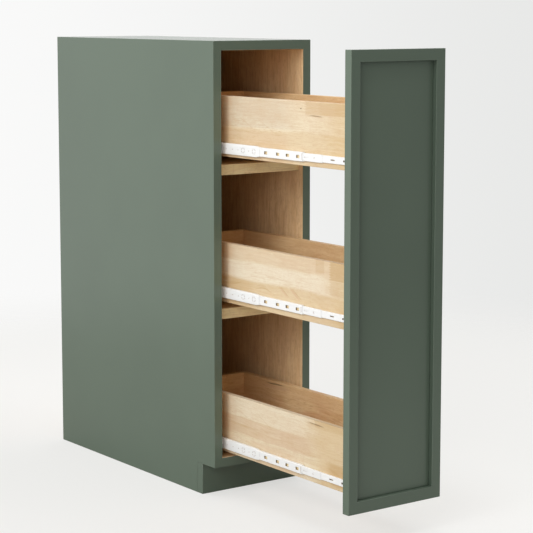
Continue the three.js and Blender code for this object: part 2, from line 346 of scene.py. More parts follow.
# A grey-brown laid over part of the upper drawer's side to darken it: painted shade.
GREY_PAINTED_SHADE = rgb(0.60, 0.52, 0.42)
GLUE_DARK = rgb(0.42, 0.24, 0.11)
FINGER_PITCH = 4.4 * MM
FINGER_STRETCH = 3.0
GLUE_LINE_SWAY = 16 * MM
GRAIN_SWAY = (0.0, 0.03, 0.03)
STAVE_TINT = (-0.16, 0.22)


def wood_tones(*tones):
    """A wood's four tones, from its palest to its grain's."""
    return dict(zip(("pale", "warm", "blush", "dark"), (rgb(*tone) for tone in tones)))


SANDED = wood_tones((0.87, 0.76, 0.57), (0.75, 0.58, 0.35), (0.75, 0.56, 0.38), (0.64, 0.43, 0.22))
OILED = wood_tones((0.86, 0.65, 0.38), (0.74, 0.50, 0.26), (0.68, 0.38, 0.20), (0.52, 0.26, 0.11))
VENEER = wood_tones((0.92, 0.69, 0.42), (0.81, 0.56, 0.31), (0.78, 0.52, 0.30), (0.55, 0.33, 0.16))
PLANED = wood_tones((1.0, 0.84, 0.50), (0.98, 0.78, 0.43), (0.97, 0.75, 0.42), (0.84, 0.60, 0.30))


def streak(graph, along, across, shape):
    """How strongly a long thin mark, sloped or bowed, covers a point."""
    (centre_a, centre_c), length, width, slope, curve = shape
    a = graph.math("SUBTRACT", along, centre_a)
    c = graph.math("SUBTRACT", across, centre_c)
    c = graph.math("SUBTRACT", c, graph.product(a, slope))
    c = graph.math("SUBTRACT", c, graph.product(graph.product(a, a), curve))
    far_a = graph.math("POWER", graph.math("DIVIDE", a, length / 2), 2.0)
    far_c = graph.math("POWER", graph.math("DIVIDE", c, width / 2), 2.0)
    return graph.smooth(graph.math("ADD", far_a, far_c), 1.0, 0.1)


def between(graph, value, ends, soft):
    """1 between two ends, and falling to 0 just inside each."""
    low, high = ends
    rising = graph.smooth(value, low, low + soft)
    return graph.product(rising, graph.smooth(value, high, high - soft))


def fingered(graph, along, across):
    """The place along the board, pushed to and fro so that a joint there has fingers."""
    teeth = graph.math("PINGPONG", across, FINGER_PITCH / 2)
    return graph.math("ADD", along, graph.product(teeth, FINGER_STRETCH))


def patch(graph, along, across, area):
    """How strongly a soft-edged rectangle covers a point. Its ends may be finger-jointed."""
    soft_along, soft_across = area["soft"]
    if area["fingers"]:
        along = fingered(graph, along, across)
    inside = between(graph, along, area["along"], soft_along)
    return graph.product(inside, between(graph, across, area["across"], soft_across))


def stave_number(graph, along, across, seed, stave):
    """A random colour and value for each stave of a finger-jointed board."""
    row = graph.math("FLOOR", graph.math("DIVIDE", across, stave["height"]))
    slack = graph.add("TexWhiteNoise", {"Vector": seed, "W": row}, noise_dimensions="4D")
    start = graph.product(slack.outputs["Value"], stave["length"])
    reach = fingered(graph, graph.math("ADD", along, start), across)
    column = graph.math("FLOOR", graph.math("DIVIDE", reach, stave["length"]))
    cell = graph.add("CombineXYZ", {0: row, 1: column, 2: 0.5}).outputs[0]
    cell = graph.vector("ADD", cell, seed)
    return graph.add("TexWhiteNoise", {"Vector": cell}, noise_dimensions="3D")


def wood_ground(graph, bent, tint, palette):
    """The wood's broad colour, under its grain: bands, flames and a blush."""
    band = graph.stretched(bent, (4.5, 110, 110), detail=3, roughness=0.6)
    flame = graph.stretched(bent, (16, 60, 60), detail=3, distortion=0.6)
    cloud = graph.stretched(bent, (7, 24, 24))
    warmth = graph.math("ADD", graph.smooth(band, 0.36, 0.64, 0.0, 0.75), tint)
    warmth = graph.math("ADD", warmth, graph.smooth(flame, 0.35, 0.7, -0.15, 0.35), clamp=True)
    colour = graph.mix(warmth, palette["pale"], palette["warm"])
    return graph.mix(graph.smooth(cloud, 0.45, 0.68, 0.0, 0.65), colour, palette["blush"])


def wood_grain(graph, place, bent, fine, colour, palette):
    """Pores, fibres, rays and curl, drawn over the wood's broad colour."""
    fibre = graph.stretched(bent, (26, 250, 250), roughness=0.6)
    ray = graph.stretched(bent, (90, 800, 800), detail=1)
    curl = graph.stretched(place, (110, 60, 60), distortion=1.0)
    colour = graph.mix(graph.smooth(fine, 0.46, 0.76, 0.0, 0.45), colour, HONEY)
    colour = graph.mix(graph.smooth(fibre, 0.48, 0.72, 0.0, 0.40), colour, palette["dark"])
    colour = graph.mix(graph.smooth(fibre, 0.46, 0.26, 0.0, 0.35), colour, palette["pale"])
    colour = graph.mix(graph.smooth(ray, 0.58, 0.72, 0.0, 0.45), colour, palette["dark"])
    return graph.mix(graph.smooth(curl, 0.48, 0.70, 0.0, 0.22), colour, ROSE)


def timber(name, palette, stave=None, marks=(), zones=(), tone=0.0):
    """Light close-grained wood. The grain coordinate runs along, across and through the board."""
    material, graph = new_material(name)
    grain = graph.attribute("grain", "Vector")
    seed = graph.attribute("seed", "Vector")
    along, across, _ = graph.split(grain)
    place = graph.vector("ADD", grain, seed)
    tint = tone
    if stave:
        number = stave_number(graph, along, across, seed, stave)
        place = graph.vector("ADD", place, number.outputs["Color"])
        chance = graph.smooth(number.outputs["Value"], 0.0, 1.0, *STAVE_TINT)
        tint = graph.math("ADD", chance, tone)
    wander = graph.stretched(place, (6, 26, 26))
    bent = graph.vector("ADD", place, graph.vector("MULTIPLY", GRAIN_SWAY, wander))
    fine = graph.stretched(bent, (14, 620, 620), detail=3, roughness=0.6)
    colour = wood_ground(graph, bent, tint, palette)
    sway = graph.product(graph.math("SUBTRACT", wander, 0.5), GLUE_LINE_SWAY)
    wavy = graph.math("ADD", across, sway)
    for area in zones:
        cover = patch(graph, along, across if area["fingers"] else wavy, area)
        colour = graph.mix(graph.product(cover, area["depth"]), colour, area["colour"])
    colour = wood_grain(graph, place, bent, fine, colour, palette)
    for line in marks:
        cover = streak(graph, along, across, line["shape"])
        ragged = graph.product(cover, graph.smooth(fine, 0.25, 0.6, 0.5, 1.0))
        colour = graph.mix(graph.product(ragged, line["depth"]), colour, line["colour"])
    graph.surface(
        Base_Color=colour,
        Roughness=graph.spread(fine, 0.44, 0.58),
        Normal=graph.bump(fine, 0.25, 0.08 * MM),
        Specular_IOR_Level=0.22,
    )
    return material


PLY_LAYER = 1.4 * MM
PLY_GLUE = (0.55 * MM, 0.85 * MM)


def ply_edge():
    """The cut edge of plywood: thin layers, alternately light and dark, across its thickness."""
    material, graph = new_material("plywood_edge")
    grain = graph.attribute("grain", "Vector")
    _, _, through = graph.split(grain)
    layer = graph.math("PINGPONG", through, PLY_LAYER)
    dark = graph.smooth(layer, *PLY_GLUE)
    fleck = graph.stretched(grain, (160, 160, 900), detail=3)
    colour = graph.mix(graph.product(dark, 0.6), STRAW, GLUE_DARK)
    colour = graph.mix(graph.smooth(fleck, 0.5, 0.75, 0.0, 0.4), colour, HONEY)
    graph.surface(
        Base_Color=colour,
        Roughness=0.65,
        Normal=graph.bump(fleck, 0.3, 0.1 * MM),
    )
    return material


def plain(name, tones, scale, roughness, **settings):
    """A material whose colour and gloss waver together between two tones."""
    material, graph = new_material(name)
    haze = graph.noise(graph.object_place(), scale)
    graph.surface(
        Base_Color=graph.mix(haze, *tones),
        Roughness=graph.spread(haze, *roughness),
        **settings,
    )
    return material


# How tall and how long each stave is, in a jointed board and in one from a single piece.
STAVES = {"height": 58 * MM, "length": 420 * MM}
WHOLE = {"height": 400 * MM, "length": 1900 * MM}


def zone(start, end, low, high, soft, depth, colour=STRAW, fingers=False):
    """A patch of wood, given from the drawer's front and its base in millimetres."""
    return {
        "along": (start * MM, end * MM),
        "across": (low * MM, high * MM),
        "soft": (soft[0] * MM, soft[1] * MM),
        "depth": depth,
        "colour": colour,
        "fingers": fingers,
    }


def mark(setback, height, length, width, depth, slope=0.0, curve=0.0, colour=HONEY):
    """A streak or knot, given from the drawer's front and its base in millimetres."""
    place = (setback * MM, height * MM)
    return {"shape": (place, length * MM, width * MM, slope, curve), "depth": depth, "colour": colour}


# The dark streaks on the inner face of the lower drawer's right side.
STREAKED_MARKS = (
    mark(430, 109, 66, 4.2, 0.90, slope=-0.04, colour=UMBER),
    mark(425, 103, 120, 10, 0.55, slope=-0.04, colour=ROSE),
    mark(300, 88, 130, 3, 0.30, slope=-0.02),
)
# What is peculiar to the outer face of each left drawer side: staves, knots and streaks, and painted
# warm light near the carcass.
# A honey tint over the part of each left drawer side nearest the carcass: painted light, standing in
# for warm light bounced from the wood inside.
PAINTED_WARM_BOUNCE = zone(355, 620, -10, 130, (40, 6), 0.26, HONEY)
UPPER_ZONES = (
    PAINTED_WARM_BOUNCE,
    # Painted shade: the upper part of the side, from 150 mm back, made duller.
    zone(150, 620, 58, 130, (90, 4), 0.32, GREY_PAINTED_SHADE),
    zone(-10, 620, -10, 58, (1, 3), 0.38),
    zone(170, 430, -10, 56, (60, 5), 0.30, ROSE),
    zone(-60, 110, -10, 130, (70, 5), 0.50),
    zone(-10, 151, 91.5, 130, (0.6, 1), 0.34, HONEY, fingers=True),
    zone(-10, 112, 91.5, 130, (0.6, 1), 0.16, HONEY, fingers=True),
)
UPPER_MARKS = (
    mark(117, 90, 50, 2.6, 0.75, slope=0.03, colour=UMBER),
    mark(124, 89.5, 74, 5, 0.30, slope=0.03),
    mark(161, 101.5, 5, 3.2, 0.95, colour=UMBER),
    mark(330, 68, 90, 2.4, 0.28, slope=0.45),
    mark(262, 63, 80, 2.4, 0.25, slope=0.45),
    mark(300, 57.5, 220, 1.6, 0.30),
    mark(120, 57.5, 120, 1.4, 0.22),
)
MIDDLE_ZONES = (
    PAINTED_WARM_BOUNCE,
    zone(60, 620, 53, 88, (60, 3), 0.85, PALE),
    zone(-10, 620, 88, 130, (1, 3), 0.22, ROSE),
    zone(-10, 620, -10, 53, (1, 2.5), 0.46),
    zone(280, 420, -10, 53, (50, 2), 0.36, HONEY),
    zone(-60, 95, -10, 130, (60, 5), 0.40),
    zone(-10, 79, 82, 130, (0.6, 1), 0.60, HONEY, fingers=True),
    zone(-10, 79, 55, 82, (0.6, 1), 0.24, HONEY, fingers=True),
    zone(90, 118, 90, 130, (3, 2), 0.30, HONEY),
    zone(-10, 70, -10, 36, (30, 4), 0.35, HONEY),
)
MIDDLE_MARKS = (
    mark(398, 47, 22, 9, 0.55),
    mark(360, 42, 40, 2.2, 0.6, slope=-0.2),
    mark(385, 40, 90, 7, 0.35, slope=-0.1),
    mark(212, 44, 34, 7.5, 0.58, slope=0.62, colour=ROSE),
    mark(206, 43, 34, 2.0, 0.7, slope=0.62),
    mark(178, 44.5, 38, 8.5, 0.66, slope=0.62, colour=ROSE),
    mark(171, 44, 38, 2.2, 0.75, slope=0.62),
    mark(275, 43, 64, 2.4, 0.70, curve=-9.0),
    mark(280, 47, 44, 7, 0.30, curve=-9.0),
)
LOWER_ZONES = (
    PAINTED_WARM_BOUNCE,
    zone(120, 620, 78, 130, (60, 2), 0.45, PALE),
    zone(110, 620, 44, 78, (40, 2), 0.42, ROSE),
    zone(-10, 105, 44, 103, (30, 3), 0.60, PALE),
    zone(150, 340, -10, 44, (50, 4), 0.25, ROSE),
    zone(-60, 150, -10, 130, (70, 5), 0.62),
    zone(-30, 90, 0, 52, (30, 10), 0.62, HONEY),
    zone(-10, 118, 103, 130, (0.6, 1), 0.34, HONEY),
)
LOWER_MARKS = (
    mark(113, 108, 54, 3.0, 0.92, slope=0.03, colour=UMBER),
    mark(118, 107, 74, 5, 0.30, slope=0.03),
    mark(345, 87, 70, 2.4, 0.28, slope=0.35),
    mark(272, 84, 70, 2.4, 0.25, slope=0.5),
    mark(300, 77, 260, 1.8, 0.30),
    mark(330, 62, 150, 8, 0.22, slope=0.04),
    mark(58, 30, 44, 9, 0.45, slope=0.35),
    mark(30, 33, 30, 6, 0.40, slope=0.2),
)

paint = coated("satin_paint", CABINET_PAINT, **SATIN)
# The recess paint is painted shade: the cabinet paint made darker.
recess_shade_paint = coated("satin_paint_painted_recess_shade", RECESS_PAINTED_SHADE, **SATIN)
steel = coated("white_powder_coat", COAT, **POWDER)
# The cut faces' material: bare steel edge and painted shade in one.
edge_and_shade_steel = plain("steel_cut_edge_and_painted_shade", CUT_EDGE_AND_SHADE, 1200, (0.5, 0.65))
zinc = plain("zinc_plate", ZINC, 800, (0.22, 0.38), Metallic=1.0)
rubber = plain("clear_bumper", CLEAR_PLASTIC, 300, (0.2, 0.3))
birch = timber("birch", OILED, STAVES)
birch_streaked = timber("birch_streaked", OILED, STAVES, STREAKED_MARKS)
birch_sanded = timber("birch_sanded", SANDED, STAVES)
birch_near = {
    "upper": timber("birch_upper_side", SANDED, WHOLE, UPPER_MARKS, UPPER_ZONES, tone=-0.2),
    "middle": timber("birch_middle_side", SANDED, WHOLE, MIDDLE_MARKS, MIDDLE_ZONES, tone=-0.3),
    "lower": timber("birch_lower_side", SANDED, WHOLE, LOWER_MARKS, LOWER_ZONES, tone=-0.2),
}
veneer = timber("veneer", VENEER, tone=0.1)
planed = timber("planed_strip", PLANED, tone=0.1)
ply = ply_edge()


# ---- Mesh helpers ----


def solid(loop, depth):
    """A closed prism from a flat loop of points, carried along depth."""
    bm = bmesh.new()
    near = [bm.verts.new(point) for point in loop]
    far = [bm.verts.new(point + depth) for point in loop]
    bm.faces.new(near)
    bm.faces.new(reversed(far))
    for i, vertex in enumerate(near):
        j = (i + 1) % len(near)
        bm.faces.new((near[j], vertex, far[i], far[j]))
    bmesh.ops.recalc_face_normals(bm, faces=bm.faces[:])
    return bm


def block(low, high):
    """A closed box between two corners."""
    x0, y0, z0 = low
    x1, y1, z1 = high
    loop = [Vector(p) for p in ((x0, y0, z0), (x0, y1, z0), (x0, y1, z1), (x0, y0, z1))]
    return solid(loop, Vector((x1 - x0, 0, 0)))


def divide(bm, axis, places):
    """Adds a line of edges round the piece at each place along an axis."""
    normal = Vector((0, 0, 0))
    normal[axis] = 1
    for place in places:
        geometry = bm.verts[:] + bm.edges[:] + bm.faces[:]
        bmesh.ops.bisect_plane(bm, geom=geometry, plane_co=normal * place, plane_no=normal)


# An edge is sharp where the surface turns by more than this, in radians.
SHARP = 1.0
ARRIS_SEGMENTS = 2


def middle(edge):
    return (edge.verts[0].co + edge.verts[1].co) / 2


def soften(bm, width, free=lambda point: True):
    """Rounds the sharp outer edges whose middles are free, and marks the new faces."""
    layer = bm.faces.layers.float.new("arris")
    sharp = [e for e in bm.edges if e.is_convex and e.calc_face_angle(0) > SHARP]
    made = bmesh.ops.bevel(
        bm,
        geom=[e for e in sharp if free(middle(e))],
        offset=width,
        segments=ARRIS_SEGMENTS,
        profile=0.5,
        affect="EDGES",
        clamp_overlap=True,
    )
    for face in made["faces"]:
        face[layer] = 1.0
        face.smooth = True


# Which axis of the frame each wood's along, across and through run on.
GRAINS = {
    "lengthwise": (1, 2, 0),
    "upright": (2, 1, 0),
    "crosswise": (0, 2, 1),
    "flat": (1, 0, 2),
    "flat_crosswise": (0, 1, 2),
    "upright_flat": (2, 0, 1),
}
SEED_SPREAD = 40.0


def give_grain(bm, name, direction):
    """Stores each point's place along, across and through the board, and the board's seed."""
    axes = GRAINS[direction]
    grain = bm.verts.layers.float_vector.new("grain")
    seed = bm.verts.layers.float_vector.new("seed")
    chance = random.Random(name)
    shift = Vector([chance.uniform(0, SEED_SPREAD) for _ in axes])
    low = Vector([min(v.co[axis] for v in bm.verts) for axis in range(3)])
    for vertex in bm.verts:
        place = vertex.co - low
        vertex[grain] = Vector([place[axis] for axis in axes])
        vertex[seed] = shift


def make_object(name, bm, materials):
    """A new object in the scene, which takes over the mesh."""
    mesh = bpy.data.meshes.new(name)
    bm.to_mesh(mesh)
    bm.free()
    for material in materials:
        mesh.materials.append(material)
    made = bpy.data.objects.new(name, mesh)
    scene.collection.objects.link(made)
    return made


def put(name, bm, body, materials, nodes=(), pick=None):
    """Makes the piece from its mesh, rides it on its body, and lets it stand for its CAD nodes."""
    if pick:
        for face in bm.faces:
            face.material_index = pick(face)
    piece = make_object(name, bm, materials)
    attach(piece, body)
    if nodes:
        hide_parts(*nodes)


def put_board(node, bm, grain, body, materials, pick=None):
    """Gives a wooden board its grain and puts it in its CAD node's place."""
    give_grain(bm, node, grain)
    put(f"{node}_board", bm, body, materials, [node], pick)


def corners(node, low=(0, 0, 0), high=(0, 0, 0)):
    """A CAD node's two corners, each moved by a small amount."""
    a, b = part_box(node)
    return Vector(a) + Vector(low), Vector(b) + Vector(high)


# ---- Carcass ----

FACING = 0.7


def side_pick(side, back_y):
    """Paint outside, veneer inside, bare plywood on the back edge."""

    def pick(face):
        if face.normal.x * side < -FACING:
            return 1
        if face.normal.y > FACING and face.calc_center_median().y > back_y - MM:
            return 2
        return 0

    return pick


def build_side_panels():
    """The carcass's sides, notched round the toe board."""
    top_low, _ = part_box("top_panel")
    _, bottom_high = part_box("bottom_panel")
    _, toe_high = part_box("toe_kick_board")
    for hand, side in SIDES.items():
        node = f"{hand}_side_panel"
        low, high = corners(node)
        toe_y = toe_high[1] + GAP
        toe_z = toe_high[2] + GAP
        outline = (
            (low.y, toe_z),
            (low.y, high.z),
            (high.y, high.z),
            (high.y, 0),
            (toe_y, 0),
            (toe_y, toe_z),
        )
        bm = solid([Vector((low.x, y, z)) for y, z in outline], Vector((high.x - low.x, 0, 0)))
        divide(bm, 2, (bottom_high[2], top_low[2]))
        inner_x = low.x if side > 0 else high.x

        def free(point):
            at_inner_edge = abs(point.x - inner_x) < NEAR
            meets_board = point.z < bottom_high[2] or point.z > top_low[2]
            against_toe = abs(point.x) < abs(low.x + high.x) / 2 + NEAR
            at_toe_notch = point.z < toe_z + NEAR and point.y < toe_y + NEAR
            return not (at_inner_edge and meets_board) and not (at_toe_notch and against_toe)

        soften(bm, PAINT_ARRIS, free)
        pick = side_pick(side, high.y)
        put_board(node, bm, "upright", "carcass", [paint, veneer, ply], pick)


def build_level_boards():
    """The top and bottom panels: painted in front and outside, veneered inside."""
    for node, inward in (("top_panel", -1), ("bottom_panel", 1)):
        low, high = corners(node, (-GAP, 0, 0), (GAP, 0, 0))
        if node == "bottom_panel":
            low.z -= GAP
        bm = block(low, high)

        def free(point):
            at_end = abs(abs(point.x) - high.x) < NEAR
            against_toe = node == "bottom_panel" and point.z < low.z + NEAR
            return not at_end and not against_toe

        def pick(face):
            if face.normal.z * inward > FACING:
                return 1
            return 2 if face.normal.y > FACING else 0

        soften(bm, PAINT_ARRIS, free)
        woods = [paint, veneer, ply]
        put_board(node, bm, "flat_crosswise", "carcass", woods, pick)


SHELF_LIP = 3 * MM


def build_shelves():
    """Each shelf is plywood with a solid strip glued to its front edge."""
    for level in ("upper", "lower"):
        node = f"{level}_shelf"
        low, high = corners(node, (-GAP, 0, 0), (GAP, GAP, 0))
        board = block((low.x, low.y + SHELF_LIP, low.z), high)
        put_board(node, board, "flat_crosswise", "carcass", [veneer])
        lip = block(low, (high.x, low.y + SHELF_LIP, high.z))

        def free(point):
            return point.y < low.y + NEAR and abs(point.x) < high.x - NEAR

        soften(lip, TIMBER_ARRIS, free)
        give_grain(lip, f"{node}_lip", "crosswise")
        put(f"{node}_front_strip", lip, "carcass", [planed])


def build_back():
    """The back panel, and the two nailers behind it."""
    low, high = corners("back_panel")
    bm = block(low, high)
    soften(bm, VENEER_ARRIS)
    put_board("back_panel", bm, "upright_flat", "carcass", [veneer])
    for node in ("upper_nailer", "lower_nailer"):
        low, high = corners(node, (-GAP, -GAP, -GAP), (GAP, 0, GAP))
        bm = block(low, high)
        soften(bm, TIMBER_ARRIS, lambda point: abs(point.x) < high.x - NEAR)

        def pick(face):
            return 1 if abs(face.normal.z) > FACING else 0

        put_board(node, bm, "crosswise", "carcass", [veneer, ply], pick)


def build_toe_board():
    """The board across the toe space. It stays square where it meets the bottom panel."""
    low, high = corners("toe_kick_board")
    bm = block(low, high)
    soften(bm, SHAKER_ARRIS, lambda point: point.z < high.z - NEAR or abs(point.x) > high.x - NEAR)
    put("toe_kick_board_paint", bm, "carcass", [paint], ["toe_kick_board"])


# ---- Shaker front ----

PANEL_BEVEL = (1.2 * MM, 1.2 * MM)


def fall_away(bm):
    """Bevels the rim of the recessed panel, which leaves a fine shadow line at its frame."""
    width, depth = PANEL_BEVEL
    front = next(face for face in bm.faces if face.normal.y < -FACING)
    front_y = front.calc_center_median().y
    bmesh.ops.inset_region(bm, faces=[front], thickness=width)
    for vertex in bm.verts:
        if abs(vertex.co.y - front_y) < TOUCH and vertex not in front.verts:
            vertex.co.y += depth


def build_stiles(inner_x, opening):
    """The front's uprights. Their faces that look into the recess take a darker copy of the paint, as
    painted shade.
    """
    bottom, top = opening
    for hand in SIDES:
        node = f"front_{hand}_stile"
        low, high = corners(node)
        bm = block(low, high)
        divide(bm, 2, opening)

        def free(point):
            at_inner_edge = abs(abs(point.x) - inner_x) < NEAR
            beside_rail = not bottom < point.z < top
            behind = point.y > high.y - NEAR
            return not (at_inner_edge and (beside_rail or behind))

        def pick(face):
            # The faces inside the recess take the darker paint, which is painted shade.
            in_recess = abs(abs(face.calc_center_median().x) - inner_x) < TOUCH
            return 1 if in_recess and abs(face.normal.x) > FACING else 0

        soften(bm, SHAKER_ARRIS, free)
        paints = [paint, recess_shade_paint]
        put(f"{node}_board", bm, "pullout", paints, [node], pick)


def build_rails(opening):
    bottom, top = opening
    for node, inner_z in (("front_top_rail", top), ("front_bottom_rail", bottom)):
        low, high = corners(node, (-GAP, 0, 0), (GAP, 0, 0))
        bm = block(low, high)

        def free(point):
            at_end = abs(abs(point.x) - high.x) < NEAR
            hidden = abs(point.z - inner_z) < NEAR and point.y > high.y - NEAR
            return not at_end and not hidden

        soften(bm, SHAKER_ARRIS, free)
        put(f"{node}_board", bm, "pullout", [paint], [node])


def build_front():
    """A shaker front: stiles and rails round an opening, and a panel set back in it."""
    _, stile_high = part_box("front_left_stile")
    inner_x = abs(stile_high[0])
    opening = (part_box("front_bottom_rail")[1][2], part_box("front_top_rail")[0][2])
    build_stiles(inner_x, opening)
    build_rails(opening)
    face_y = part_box("front_panel")[0][1]
    low = Vector((-inner_x, face_y, opening[0]))
    high = Vector((inner_x, stile_high[1], opening[1]))
    bm = block(low, high)
    fall_away(bm)
    put("front_panel_board", bm, "pullout", [paint], ["front_panel"])


# ---- Drawer boxes ----


def build_drawer_side(level, hand):
    """The left sides have their own marks. The right ones are sanded on the outside."""
    node = f"{level}_drawer_{hand}_side"
    bm = block(*corners(node, (0, -GAP, 0)))
    soften(bm, TIMBER_ARRIS)
    if hand == "left":
        put_board(node, bm, "lengthwise", "pullout", [birch_near[level]])
        return
    woods = [birch_streaked if level == "lower" else birch, birch_sanded]

    def pick(face):
        return 1 if face.normal.x > FACING else 0

    put_board(node, bm, "lengthwise", "pullout", woods, pick)


def build_drawer(level):
    """A box: two long sides, the front and back between them, and a floor."""
    for hand in SIDES:
        build_drawer_side(level, hand)
    inner_x = corners(f"{level}_drawer_right_side")[0].x
    for end in ("front", "back"):
        node = f"{level}_drawer_{end}"
        low, high = corners(node)
        low.x = -inner_x
        high.x = inner_x
        if end == "front":
            low.y -= GAP
        bm = block(low, high)
        soften(bm, TIMBER_ARRIS, lambda point: abs(point.x) < high.x - NEAR)
        put_board(node, bm, "crosswise", "pullout", [birch])
    node = f"{level}_drawer_floor"
    bm = block(*corners(node))
    soften(bm, VENEER_ARRIS)
    put_board(node, bm, "flat", "pullout", [veneer])


# ---- Slides ----

# Each pressed member's sheet thickness, and the radius of its outer corners.
SHEETS = {
    "cabinet_member": (1.2 * MM, 2.2 * MM),
    "outer_cage": (0.6 * MM, 1.4 * MM),
    "intermediate": (1.2 * MM, 1.8 * MM),
    "inner_cage": (0.5 * MM, 1.2 * MM),
    "drawer_member": (1.2 * MM, 1.6 * MM),
}
CORNER_SEGMENTS = 4
CUT_DEPTH = 3 * MM

# Openings through the webs. Their middles are measured back from each member's front end.
WINDOWS = (13.3 * MM, 44 * MM, 73.5 * MM, 110.3 * MM)
WINDOW = (9 * MM, 5.5 * MM)
# What shows through the windows: how far each opening behind them starts after the window's
# front end and ends after its rear end, and its height.
BEHIND = {
    "inner_cage": (-1 * MM, 3 * MM, 6.5 * MM),
    "drawer_member": (-1 * MM, 5.5 * MM, 7.5 * MM),
}
# How far back each member's slot and round hole are.
FIXINGS = {
    "inner_cage": (44.3 * MM, 20.9 * MM),
    "drawer_member": (63.5 * MM, 32.4 * MM),
}
SLOT = (11 * MM, 2 * MM)
HOLE = 2 * MM
LANCED_SQUARES = (17.1 * MM, 51.4 * MM)
SQUARE = 8.4 * MM
LANCE = (2.2 * MM, 1.2 * MM)
CAGE_DOTS = (32.7 * MM, 67 * MM, 85.3 * MM, 105.2 * MM)
DOT = 1.1 * MM
# The crease across the intermediate's web: its setback, width, height and depth.
CREASE = (2.6 * MM, 0.7 * MM, 11.5 * MM, 0.3 * MM)


def arc(centre_x, centre_z, radius, start):
    """A quarter turn of points from an angle given in quarter turns."""
    angles = [(start + i / CORNER_SEGMENTS) * math.pi / 2 for i in range(CORNER_SEGMENTS + 1)]
    return [(centre_x + radius * math.cos(a), centre_z + radius * math.sin(a)) for a in angles]


def channel_outline(outer, half, sheet, radius):
    """A pressed channel's section: x outwards from the drawer, z up, open towards the drawer."""
    inner = outer - sheet
    bend = radius - sheet / 2
    outline = [(0, -half)]
    outline += arc(outer - radius, radius - half, radius, -1)
    outline += arc(outer - radius, half - radius, radius, 0)
    outline += [(0, half), (0, half - sheet)]
    outline += arc(inner - bend, half - sheet - bend, bend, 0)[::-1]
    outline += arc(inner - bend, sheet + bend - half, bend, -1)[::-1]
    outline.append((0, sheet - half))
    return outline


def add_mesh(bm, part):
    """Moves one mesh into another."""
    mesh = bpy.data.meshes.new("part")
    part.to_mesh(mesh)
    part.free()
    bm.from_mesh(mesh)
    bpy.data.meshes.remove(mesh)


def add_block(bm, start, end):
    """Adds a box to a mesh, from two opposite corners in any order."""
    low = [min(pair) for pair in zip(start, end)]
    high = [max(pair) for pair in zip(start, end)]
    add_mesh(bm, block(low, high))


def round_angles(segments):
    """Even steps round a full turn."""
    return [2 * math.pi * i / segments for i in range(segments)]


def round_bar(start, end, radius, segments=16):
    """A closed round bar between two points."""
    axis = end - start
    across = axis.orthogonal().normalized() * radius
    turn = axis.normalized()
    over = turn.cross(across)
    loop = [start + across * math.cos(a) + over * math.sin(a) for a in round_angles(segments)]
    return solid(loop, axis)


def carve(bm, cutters):
    """Takes the cutters away from the mesh. The cut faces have the second material, a dark brown that
    is partly bare steel and partly painted shade.
    """
    for face in cutters.faces:
        face.material_index = 1
    target = make_object("carved", bm, [steel, edge_and_shade_steel])
    tool = make_object("cutters", cutters, [steel, edge_and_shade_steel])
    modifier = target.modifiers.new("cut", "BOOLEAN")
    modifier.operation = "DIFFERENCE"
    modifier.solver = "EXACT"
    modifier.object = tool
    shown = target.evaluated_get(bpy.context.evaluated_depsgraph_get())
    result = bmesh.new()
    result.from_mesh(shown.to_mesh())
    shown.to_mesh_clear()
    for mesh in (target.data, tool.data):
        bpy.data.meshes.remove(mesh)
    return result


def lance_square(box_cut, y, z):
    """Eight short slits round a square."""
    length, width = LANCE
    for along in (-1, 1):
        for across in (-1, 1):
            box_cut(y + along * SQUARE / 4, z + across * SQUARE / 2, length, width)
            box_cut(y + along * SQUARE / 2, z + across * SQUARE / 4, width, length)


def window_span(level, hand, setback):
    """Where one of the intermediate's windows starts and ends along Y."""
    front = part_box(f"{level}_{hand}_slide_intermediate")[0][1]
    return front + setback - WINDOW[0] / 2, front + setback + WINDOW[0] / 2


def web_cutters(level, hand, member, web_x, front_y, middle_z):
    """The tools for one member's openings. web_x is its web's outer face."""
    side = SIDES[hand]
    cutters = bmesh.new()
    inside = web_x - side * CUT_DEPTH
    outside = web_x + side * CUT_DEPTH

    def box_cut(y, z, length, height, bottom=inside):
        low = (bottom, y - length / 2, z - height / 2)
        add_block(cutters, low, (outside, y + length / 2, z + height / 2))

    def round_cut(y, radius):
        start = Vector((inside, y, middle_z))
        add_mesh(cutters, round_bar(start, Vector((outside, y, middle_z)), radius))

    if member == "intermediate":
        for setback in WINDOWS:
            box_cut(front_y + setback, middle_z, *WINDOW)
        setback, width, height, depth = CREASE
        box_cut(front_y + setback, middle_z, width, height, web_x - side * depth)
    if member == "outer_cage":
        for setback in LANCED_SQUARES:
            lance_square(box_cut, front_y + setback, middle_z)
        for setback in CAGE_DOTS:
            round_cut(front_y + setback, DOT)
    if member in BEHIND:
        front, back, height = BEHIND[member]
        for setback in WINDOWS:
            start, end = window_span(level, hand, setback)
            length = end + back - start - front
            box_cut((start + front + end + back) / 2, middle_z, length, height)
        slot, hole = FIXINGS[member]
        box_cut(front_y + slot, middle_z, *SLOT)
        round_cut(front_y + hole, HOLE)
    return cutters


# How long the thinned end is, and the share of the sheet that it loses.
FEATHER = (1.6 * MM, 0.6)


def feather(bm, front_y, web_x, side, sheet):
    """Thins the web towards its front end, so that the steps between members look fine."""
    length, share = FEATHER
    divide(bm, 1, (front_y + length,))
    for vertex in bm.verts:
        if vertex.co.y < front_y + TOUCH and abs(vertex.co.x - web_x) < TOUCH:
            vertex.co.x -= side * sheet * share


TRIM_SLOPE = 1.42


def trim(bm, front_y, web_x):
    """Cuts the front ends of the flanges back at a slant."""
    for vertex in bm.verts:
        if vertex.co.y < front_y + TOUCH:
            vertex.co.y += abs(vertex.co.x - web_x) * TRIM_SLOPE


TAPER = 12 * MM


